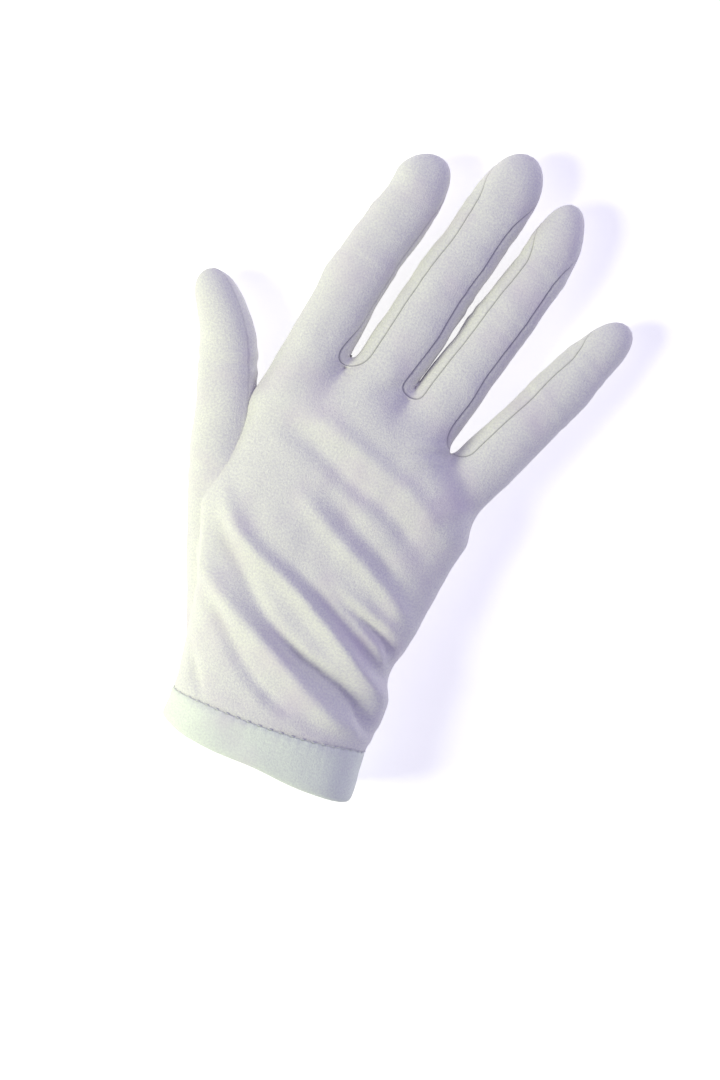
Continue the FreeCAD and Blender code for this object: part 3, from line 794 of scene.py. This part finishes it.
            # Going down a finger, the stretch between two stations belongs with the lower one.
            owner = k + 1 if self.label[k].endswith("_out") else k
            for row in range(ROW_LAST):
                corners = ((k, row), (k, row + 1), (k + 1, row + 1), (k + 1, row))
                ids = [self.strip_id(station, r) for station, r in corners]
                fabric = []
                for station, r in corners:
                    reach = self.arc[station, r]
                    if row >= ROW_MIDDLE:
                        reach = self.arc[station, -1] - reach
                    fabric.append(tuple(self.plan[station] + self.normal[station] * reach))
                yield ids[::-1], (self.zone[owner], self.strip_kind(self.label[owner], row)), fabric[::-1]

    def hem_loop(self):
        """The lower edge of the skin once round the wrist, as vertex numbers: back first, then little-finger
        side, palm and thumb side."""
        back = [self.strip_id(0, 0), *self.hem_ids[::-1]]
        right = [self.strip_id(self.count - 1, row) for row in range(ROW_LAST)]
        palm = [self.n_plan + self.count - 1, *[self.n_plan + i for i in self.hem_ids]]
        left = [self.strip_id(0, row) for row in range(ROW_LAST, 0, -1)]
        return back + right + palm + left


# ------------ meshes

def vertex_normals(vertices, faces):
    """Area-weighted normals of a mesh of triangles and quads."""
    total = np.zeros_like(vertices)
    for size in (3, 4):
        group = np.array([f for f in faces if len(f) == size])
        if len(group) == 0:
            continue
        corners = vertices[group]
        normal = np.cross(corners[:, 2] - corners[:, 0], corners[:, -1] - corners[:, 1])
        for k in range(size):
            np.add.at(total, group[:, k], normal)
    return total / np.maximum(np.linalg.norm(total, axis=1, keepdims=True), 1e-12)


def add_object(name, data):
    obj = bpy.data.objects.new(name, data)
    bpy.context.scene.collection.objects.link(obj)
    return obj


def unwrapped(corners, girth):
    """A face's places in fabric that goes once round, kept together where the face crosses the join."""
    high = max(u for u, _ in corners)
    return [(u + girth if high - u > girth / 2 else u, v) for u, v in corners]


def new_mesh(name, vertices, faces, fabric, loop_normals, seam, material):
    """A mesh object, with its fabric coordinates, its normals and how far each vertex is into a seam, which the knit
    finish paints as shade.
    """
    mesh = bpy.data.meshes.new(name)
    mesh.from_pydata((np.asarray(vertices) * MM).tolist(), [], faces)
    mesh.polygons.foreach_set("use_smooth", [True] * len(mesh.polygons))
    mesh.uv_layers.new(name="fabric")
    mesh.uv_layers[0].data.foreach_set("uv", np.array(fabric, np.float32).ravel() / 100.0)
    mesh.attributes.new("seam", "FLOAT", "POINT").data.foreach_set("value", np.array(seam, np.float32))
    mesh.update()
    if loop_normals is not None:
        mesh.normals_split_custom_set(loop_normals)
    mesh.materials.append(material)
    return add_object(name, mesh)


def knit_piece(name, vertices, normals, seam, faces, fabric, material):
    """One piece of knit: the outer faces, the same a layer further in, and the cut edge."""
    ids = sorted({i for f in faces for i in f})
    local = {i: k for k, i in enumerate(ids)}
    outer = vertices[ids]
    inner = outer - KNIT * normals[ids]
    count = len(ids)
    out_faces = [[local[i] for i in f] for f in faces]
    all_faces, all_fabric, all_normals = [], [], []
    directed = {}
    for f, uv in zip(out_faces, fabric):
        all_faces.append(f)
        all_fabric.extend(uv)
        all_normals.extend(normals[ids[i]] for i in f)
        all_faces.append([count + i for i in f[::-1]])
        all_fabric.extend(uv[::-1])
        all_normals.extend(-normals[ids[i]] for i in f[::-1])
        for k, i in enumerate(f):
            j = f[(k + 1) % len(f)]
            directed[(i, j)] = (uv[k], uv[(k + 1) % len(f)])
    for (i, j), (uv_i, uv_j) in directed.items():
        if (j, i) in directed:
            continue
        all_faces.append([j, i, count + i, count + j])
        all_fabric.extend([uv_j, uv_i, uv_i, uv_j])
        side = np.cross(outer[i] - outer[j], inner[i] - outer[i])
        side = side / max(np.linalg.norm(side), 1e-9)
        all_normals.extend([side] * 4)
    return new_mesh(name, np.vstack([outer, inner]), all_faces, all_fabric, all_normals,
                    np.tile(seam[ids], 2), material)


def grid_faces(rows, columns):
    """Quads of a grid of rows and columns of vertices, row by row, joined round the columns."""
    faces = []
    for r in range(rows - 1):
        for c in range(columns):
            d = (c + 1) % columns
            faces.append([r * columns + c, r * columns + d, (r + 1) * columns + d, (r + 1) * columns + c])
    return faces


# ------------ thumb

THUMB_SEAM = 26.0       # round the thumb from its index side, in degrees
THUMB_START = -58.0     # the buried end of the thumb, before its root hinge
THUMB_COLUMNS = 56
THUMB_GIRTH = 54.0      # fabric once round the thumb
THUMB_HIDDEN = -1.8     # thumb faces deeper in the hand than this are left out, up to THUMB_SHOWS
THUMB_SHOWS = 3.0
HAND_HIDDEN = -3.6      # hand faces deeper in the thumb than this are left out


def thumb_angles():
    """Angles round the thumb, with close columns beside the seam."""
    near = [THUMB_SEAM - 5, THUMB_SEAM, THUMB_SEAM + 5]
    rest = np.linspace(THUMB_SEAM + 5, THUMB_SEAM + 355, THUMB_COLUMNS - 1)[1:-1]
    return np.radians(np.array([*near, *rest]))


def build_thumb_skin():
    """Rings of the thumb from inside the palm's edge to its tip, and the tip vertex."""
    thumb = HAND["thumb"]
    angles = thumb_angles()
    straight = np.arange(THUMB_START, thumb.cap, 1.0)
    straight = np.sort(np.concatenate([straight, [ROOT_SPLIT, thumb.splits[0]]]))
    straight = straight[np.concatenate([[True], np.diff(straight) > 0.3])]
    turn = np.radians(np.linspace(0, 84, 13))
    along = np.concatenate([straight, thumb.cap + (thumb.length - thumb.cap) * np.sin(turn)])
    scale = np.concatenate([np.ones(len(straight)), np.cos(turn)])
    rings, fabric = [], []
    power = 2 / FINGER_POWER
    for a, size in zip(along, scale):
        w, off, t = (v[0] for v in thumb.widths(np.array([a])))
        cos, sin = np.cos(angles), np.sin(angles)
        b = off + size * w * np.sign(cos) * np.abs(cos) ** power
        c = size * t * np.sign(sin) * np.abs(sin) ** power
        rings.append(thumb.root + a * thumb.ahead + np.outer(b, thumb.across) + np.outer(c, thumb.up))
        fabric.extend((math.degrees(v) * (THUMB_GIRTH / 360), a) for v in angles)
    tip_offset = thumb.widths(np.array([thumb.length]))[1][0]
    tip = thumb.root + thumb.length * thumb.ahead + tip_offset * thumb.across
    points = np.vstack([*rings, tip])
    columns = len(angles)
    faces = grid_faces(len(rings), columns)
    last = (len(rings) - 1) * columns
    faces += [[last + c, last + (c + 1) % columns, len(points) - 1] for c in range(columns)]
    normals = vertex_normals(points, faces)
    a, b, _ = thumb.local(points)
    seam = np.zeros(len(points))
    # the thumb seam's share, for its groove and for its painted shade
    seam[1:-1:columns] = 0.4 * smoothstep(a[1:-1:columns], -14, -4)
    push = thumb_relief(points, a, b) - GROOVE * 0.9 * seam
    points = rest_on_floor(points + normals * push[:, None], 0.35)
    normals = vertex_normals(points, faces)
    return points, faces, normals, seam, [*fabric, (0.0, thumb.length)], along, columns


def thumb_relief(points, a, b):
    """Creases at the thumb's hinge and soft unevenness of the slack knit."""
    thumb = HAND["thumb"]
    wave = np.sin((a - thumb.hinges[1]) * 1.1 + 0.15 * b) * np.exp(-((a - thumb.hinges[1]) / 7) ** 2)
    low = np.exp(-((a + 6) / 5) ** 2) * np.sin(a * 0.9 + 0.1 * b)
    return 0.2 * wave + 0.25 * low + 0.22 * wave_noise(points, 18, 21) + 0.08 * wave_noise(points, 7, 22)


def add_thumb(material):
    points, faces, normals, seam, fabric, along, columns = build_thumb_skin()
    thumb = HAND["thumb"]
    groups = {"thumb_base": [], "thumb_middle": [], "thumb_tip": []}
    centres = np.array([points[f].mean(0) for f in faces])
    for face, hidden in zip(faces, hand_field(centres) < THUMB_HIDDEN):
        a = along[face[0] // columns]
        if hidden and a < THUMB_SHOWS:
            continue
        part = "base" if a < ROOT_SPLIT - 0.01 else "middle" if a < thumb.splits[0] - 0.01 else "tip"
        groups[f"thumb_{part}"].append(face)
    made = {}
    for part, chosen in groups.items():
        uv = [unwrapped([fabric[i] for i in f], THUMB_GIRTH) for f in chosen]
        made[part] = knit_piece(f"{part}_knit", points, normals, seam, chosen, uv, material)
    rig.ride(made["thumb_base"], "palm")
    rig.replaces(made["thumb_base"], "thumb_base")
    bend(made["thumb_middle"], "palm", "thumb_middle", thumb, "root")
    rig.replaces(made["thumb_middle"], "thumb_middle", "thumb_root_fold")
    bend(made["thumb_tip"], "thumb_middle", "thumb_tip", thumb, "middle")
    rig.replaces(made["thumb_tip"], "thumb_tip", "thumb_tip_fold")
    for piece in made.values():
        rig.slot(piece, "white_knit")


def bend(obj, first, second, finger, turn):
    """Bend a piece with two bodies where its finger's knit turns."""
    spots = [tuple(float(v) * MM for v in finger.place([a], [0.0], [0.0])[0]) for a in finger.turns[turn]]
    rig.blend(obj, first, second, *spots)


# ------------ hand pieces

def add_hand(skin, knit, fork_knit):
    faces, keys, fabric = [], [], []
    for face, key, uv in skin.faces():
        faces.append(list(face))
        keys.append(key)
        fabric.append(uv)
    normals = vertex_normals(skin.vertices, faces)
    centres = np.array([skin.vertices[f].mean(0) for f in faces])
    in_thumb = HAND["thumb"].field(centres, back=THUMB_START + 10) < HAND_HIDDEN
    groups = {}
    for face, key, uv, hidden in zip(faces, keys, fabric, in_thumb):
        if not hidden:
            group = groups.setdefault(key, ([], []))
            group[0].append(face)
            group[1].append(uv)
    for (zone, kind), (chosen, uv) in groups.items():
        forked = kind not in ("back", "palm")
        node = f"{zone}_{kind}"
        if zone == "hand":
            node = f"fork_{kind.removesuffix('_crotch')}" if forked else f"{kind}_panel"
        obj = knit_piece(f"{node}_knit", skin.vertices, normals, skin.seam_groove_and_shade, chosen, uv,
                         fork_knit if forked else knit)
        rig.slot(obj, "fourchette_knit" if forked else "white_knit")
        if zone == "hand":
            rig.ride(obj, "palm")
            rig.replaces(obj, node)
            continue
        name, part = zone.rsplit("_", 1)
        first, turn = {"base": ("palm", "root"), "middle": (f"{name}_base", "middle"),
                       "tip": (f"{name}_middle", "tip")}[part]
        bend(obj, first, zone, HAND[name], turn)
        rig.replaces(obj, node)
        if kind == "back":
            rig.replaces(obj, f"{name}_{turn}_fold")


# ------------ hem and stitches

HEM_PROFILE = (  # share of the way down the hem, height over the glove's surface
    (0.0, -0.2), (0.035, -0.02), (0.08, 0.3), (0.16, 0.46), (0.28, 0.5), (0.42, 0.5), (0.56, 0.52),
    (0.7, 0.54), (0.82, 0.52), (0.91, 0.4), (0.965, 0.12), (0.99, -0.28), (1.0, -0.7), (0.985, -1.1),
    (0.94, -1.4), (0.85, -1.5), (0.65, -1.5), (0.45, -1.5), (0.25, -1.5), (0.1, -1.45), (0.02, -1.25))
STITCH_PITCH, STITCH_LENGTH, STITCH_RADIUS = 3.4, 2.0, 0.2


def wrist_middle(y):
    """Middle of the wrist's section at each height up the hand."""
    left, right, z, _ = palm_section(y)
    return np.column_stack([0.5 * (left + right), y, z])


def wrist_points(angles, y):
    """Points of the wrist's surface at angles round its middle, at heights up the hand."""
    flat = np.column_stack([np.cos(angles), 0 * angles, np.sin(angles)])
    return cast(wrist_middle(y), flat, palm_field, reach=42.0)


def add_hem(skin, material, thread):
    loop = skin.vertices[skin.hem_loop()]
    out = loop - wrist_middle(loop[:, 1])
    angles = np.arctan2(out[:, 2], out[:, 0])
    length = np.concatenate([[0], np.cumsum(np.linalg.norm(np.diff(loop, axis=0), axis=1))])
    above = smoothstep(loop[:, 2], 10.0, 28.0)      # 1 on the back, 0 on the palm side
    edge = above * hem_height(loop[:, 0], HEM_EDGE) + (1 - above) * hem_height(loop[:, 0], HEM_EDGE_BELOW)
    edge = edge + 0.25 * wave_noise(loop, 22, 31)
    columns = len(loop)
    rows, fabric = [], []
    whole = round(length[-1] / STITCH_PITCH)
    for down, height in HEM_PROFILE:
        y = loop[:, 1] + down * (edge - loop[:, 1])
        base = wrist_points(angles, y)
        normal = surface_normals(base, palm_field)
        pucker = 0.16 * np.cos(2 * math.pi * whole * length / length[-1]) * math.exp(-down * 7)
        wave = (0.35 * wave_noise(base, 24, 32) + 0.1 * wave_noise(base, 9, 33)) * smoothstep(down, 0.0, 0.3)
        rows.append(base + normal * (height + pucker + wave)[:, None])
        fabric.append(np.column_stack([length, y + height]))
    points = rest_on_floor(np.vstack(rows), 0.25)
    count = len(rows)
    faces = [[i % (count * columns) for i in f[::-1]] for f in grid_faces(count + 1, columns)]
    flat = np.vstack(fabric)
    corners = [spot for f in faces for spot in unwrapped(flat[f], length[-1])]
    seam = np.zeros(len(points))
    # painted shade along the groove of the hem's seam, on the hem's top row
    seam[:columns] = HEM_SEAM
    hem = new_mesh("cuff_hem_knit", points, faces, corners, None, seam, material)
    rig.ride(hem, "palm")
    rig.replaces(hem, "cuff_hem")
    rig.slot(hem, "hem_knit")
    add_stitches(loop, length, whole, thread)


def add_stitches(loop, length, whole, thread):
    """Short stitches lying in the hem's groove, once round the wrist, each a tube with closed ends."""
    rings, sides = 7, 8
    turns = np.linspace(0, 2 * math.pi, sides, endpoint=False)
    vertices, faces = [], []
    for number in range(whole):
        middle = (number + 0.5) * length[-1] / whole
        along = middle + STITCH_LENGTH * np.linspace(-0.5, 0.5, rings)
        spot = np.column_stack([np.interp(along, length, loop[:, k]) for k in range(3)])
        normal = surface_normals(spot, palm_field)
        bow = 0.3 - 0.75 * np.abs(np.linspace(-1, 1, rings)) ** 3
        spot = spot + normal * bow[:, None]
        ahead = np.gradient(spot, axis=0)
        ahead /= np.linalg.norm(ahead, axis=1, keepdims=True)
        side = np.cross(ahead, normal)
        thin = STITCH_RADIUS * np.sqrt(np.maximum(1 - np.linspace(-0.97, 0.97, rings) ** 4, 0.02))
        start = len(vertices)
        for k in range(rings):
            for turn in turns:
                vertices.append(spot[k] + thin[k] * (math.cos(turn) * side[k] + math.sin(turn) * normal[k]))
        ends = [list(range(sides))[::-1], list(range((rings - 1) * sides, rings * sides))]
        faces += [[start + i for i in f] for f in grid_faces(rings, sides) + ends]
    fabric = [tuple(vertices[i][:2]) for f in faces for i in f]
    points = np.array(vertices)
    points[:, 2] = np.maximum(points[:, 2], 0.1)
    obj = new_mesh("hem_stitches", points, faces, fabric, None, np.zeros(len(points)), thread)
    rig.ride(obj, "palm")
    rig.replaces(obj, "hem_stitching")
    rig.slot(obj, "seam_thread")


# ------------ finishes

PATCH_COLOUR = (0.70, 0.62, 0.73, 1)     # faint lavender patches, as in the photograph


def new_material(name, inputs):
    """A material with these inputs of its shader set."""
    mat = bpy.data.materials.new(name)
    mat.use_nodes = True
    shader = mat.node_tree.nodes["Principled BSDF"]
    for key, value in inputs.items():
        shader.inputs[key].default_value = value
    return mat, shader


def add_node(tree, kind, inputs, **settings):
    """A node with these settings, its inputs set to values or linked to other nodes' outputs."""
    node = tree.nodes.new(f"ShaderNode{kind}")
    for key, value in settings.items():
        setattr(node, key, value)
    for key, value in inputs.items():
        if isinstance(value, bpy.types.NodeSocket):
            tree.links.new(value, node.inputs[key])
        else:
            node.inputs[key].default_value = value
    return node


def knit_material(name, colour, shade, seam_shade_colour, relief=1.0):
    """White knit: faint mottling and patches, fine loops in relief, and painted shade darkening it in the seams'
    grooves.
    """
    mat, shader = new_material(name, {"Roughness": 0.93, "Sheen Weight": 0.12, "Sheen Roughness": 0.6,
                                      "Specular IOR Level": 0.18})
    tree = mat.node_tree
    fabric = add_node(tree, "UVMap", {}, uv_map="fabric").outputs["UV"]

    def noise(scale, detail, roughness):
        inputs = {"Scale": scale, "Detail": detail, "Roughness": roughness, "Vector": fabric}
        return add_node(tree, "TexNoise", inputs).outputs["Fac"]

    def mix_colour(factor, first, second):
        return add_node(tree, "Mix", {0: factor, 6: first, 7: second}, data_type="RGBA").outputs[2]

    def number(kind, first, second):
        return add_node(tree, "Math", {0: first, 1: second}, operation=kind).outputs[0]

    def spread(value, low, high):
        inputs = {"From Min": low, "From Max": high, "Value": value}
        return add_node(tree, "MapRange", inputs).outputs["Result"]

    mottle = number("MULTIPLY", spread(noise(150, 3, 0.7), 0.38, 0.62), 0.75)
    cloud = number("MULTIPLY", spread(noise(7, 2, 0.5), 0.3, 0.7), 0.25)
    plain = mix_colour(number("ADD", mottle, cloud), (*shade, 1), (*colour, 1))
    patches = number("MULTIPLY", spread(noise(5, 2, 0.6), 0.48, 0.7), 0.45)
    base = mix_colour(patches, plain, PATCH_COLOUR)
    # painted shade: the knit darkens towards the seam colour where a vertex lies in a seam's groove
    seam = add_node(tree, "Attribute", {}, attribute_name="seam").outputs["Fac"]
    depth = number("MULTIPLY", number("POWER", seam, 1.6), 0.8)
    tree.links.new(mix_colour(depth, base, (*seam_shade_colour, 1)), shader.inputs["Base Color"])

    wales = add_node(tree, "TexWave", {"Scale": 40, "Distortion": 1.5, "Detail": 1.0, "Detail Scale": 3.0,
                                       "Vector": fabric}).outputs["Fac"]
    fine, coarse = number("MULTIPLY", noise(260, 2, 0.6), 0.7), number("MULTIPLY", noise(80, 2, 0.5), 0.55)
    height = number("ADD", number("ADD", fine, coarse), number("MULTIPLY", wales, 0.05))
    bump = add_node(tree, "Bump", {"Strength": 0.55 * relief, "Distance": 0.0005, "Height": height})
    tree.links.new(bump.outputs["Normal"], shader.inputs["Normal"])
    return mat


def plain_inputs(colour, roughness):
    return {"Base Color": (*colour, 1), "Roughness": roughness, "Specular IOR Level": 0.1}


# ------------ stage

TURN = math.radians(22)                      # the glove leans this far from the picture's upright
RIGHT = Vector((math.cos(TURN), math.sin(TURN), 0))
UP = Vector((-math.sin(TURN), math.cos(TURN), 0))
AIM = Vector((9.8, -25.2, 15.0)) * MM
TILT = math.radians(5)
LENS, SENSOR, FIELD = 100.0, 36.0, 329.4 * MM
FLOOR_HALF, FLOOR_GLOW = 1.5, 0.45
SURROUND, SURROUND_STRENGTH = (0.70, 0.66, 1.0, 1), 0.41
LIGHTS = (      # name; place along the picture's axes and over the floor, from the glove; size, watts, colour
    ("key", (-0.94, -0.1, 0.8), 0.5, 12.0, (0.95, 1.0, 0.66)),
    ("fill", (0.75, 0.78, 0.97), 1.0, 4.6, (0.74, 0.68, 1.0)),
)


def look_at(obj, target, up):
    back = (obj.location - target).normalized()
    right = up.cross(back).normalized()
    obj.matrix_world = Matrix.Translation(obj.location) @ Matrix(
        (right, back.cross(right), back)).transposed().to_4x4()


def add_camera():
    data = bpy.data.cameras.new("camera")
    data.lens = LENS
    data.sensor_fit = "VERTICAL"
    data.sensor_height = SENSOR
    camera = add_object("camera", data)
    away = Vector((0, 0, 1)) * math.cos(TILT) + UP * math.sin(TILT)
    camera.location = AIM + away * (LENS / SENSOR * FIELD)
    look_at(camera, AIM, UP)
    bpy.context.scene.camera = camera


def add_light(name, place, size, watts, colour):
    """A square soft light."""
    data = bpy.data.lights.new(name, "AREA")
    data.shape = "SQUARE"
    data.size = size
    data.energy = watts
    data.color = colour
    light = add_object(name, data)
    across, along, height = place
    light.location = RIGHT * across + UP * along + Vector((0, 0, height))
    look_at(light, Vector((0, 0, 0.01)), UP)
    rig.stage(light)


def add_stage():
    mesh = bpy.data.meshes.new("floor")
    h = FLOOR_HALF
    mesh.from_pydata([(-h, -h, 0), (h, -h, 0), (h, h, 0), (-h, h, 0)], [], [(0, 1, 2, 3)])
    glow = {"Emission Color": (1, 1, 1, 1), "Emission Strength": FLOOR_GLOW}
    mesh.materials.append(new_material("floor_white", {**plain_inputs((0.95, 0.95, 0.93), 0.9), **glow})[0])
    floor = add_object("floor", mesh)
    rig.stage(floor)
    for light in LIGHTS:
        add_light(*light)
    world = bpy.data.worlds.new("studio")
    world.use_nodes = True
    background = world.node_tree.nodes["Background"]
    background.inputs["Color"].default_value = SURROUND
    background.inputs["Strength"].default_value = SURROUND_STRENGTH
    bpy.context.scene.world = world
    bpy.context.scene.view_settings.view_transform = "Standard"


# ------------ the glove

# painted shade that the knit darkens to in the seams' grooves
SEAM_PAINTED_SHADE = (0.16, 0.16, 0.2)
WHITE_KNIT = knit_material("white_knit", (0.86, 0.865, 0.81), (0.68, 0.67, 0.71), SEAM_PAINTED_SHADE)
FORK_KNIT = knit_material("fourchette_knit", (0.87, 0.875, 0.81), (0.69, 0.68, 0.71), SEAM_PAINTED_SHADE)
# the hem's knit is painted lighter and greener than the glove's knit: a painted highlight
HEM_PAINTED_HIGHLIGHT_KNIT = knit_material("hem_knit", (0.85, 0.92, 0.82), (0.72, 0.76, 0.73), (0.42, 0.42, 0.45), relief=0.8)
THREAD = new_material("seam_thread", plain_inputs((0.62, 0.63, 0.67), 0.8))[0]

for node in frame["nodes"].values():
    finish = FORK_KNIT if "fork" in node.name else WHITE_KNIT
    finish = {"cuff_hem": HEM_PAINTED_HIGHLIGHT_KNIT, "hem_stitching": THREAD}.get(node.name, finish)
    node.data.materials.clear()
    node.data.materials.append(finish)

SKIN = Skin()
add_hand(SKIN, WHITE_KNIT, FORK_KNIT)
add_thumb(WHITE_KNIT)
add_hem(SKIN, HEM_PAINTED_HIGHLIGHT_KNIT, THREAD)
add_stage()
add_camera()

MADE_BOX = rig.bounds()
with open("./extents.json", "w") as out_file:
    json.dump({"cad": [list(v) for v in CAD_BOX], "visual": [list(v) for v in MADE_BOX]}, out_file)
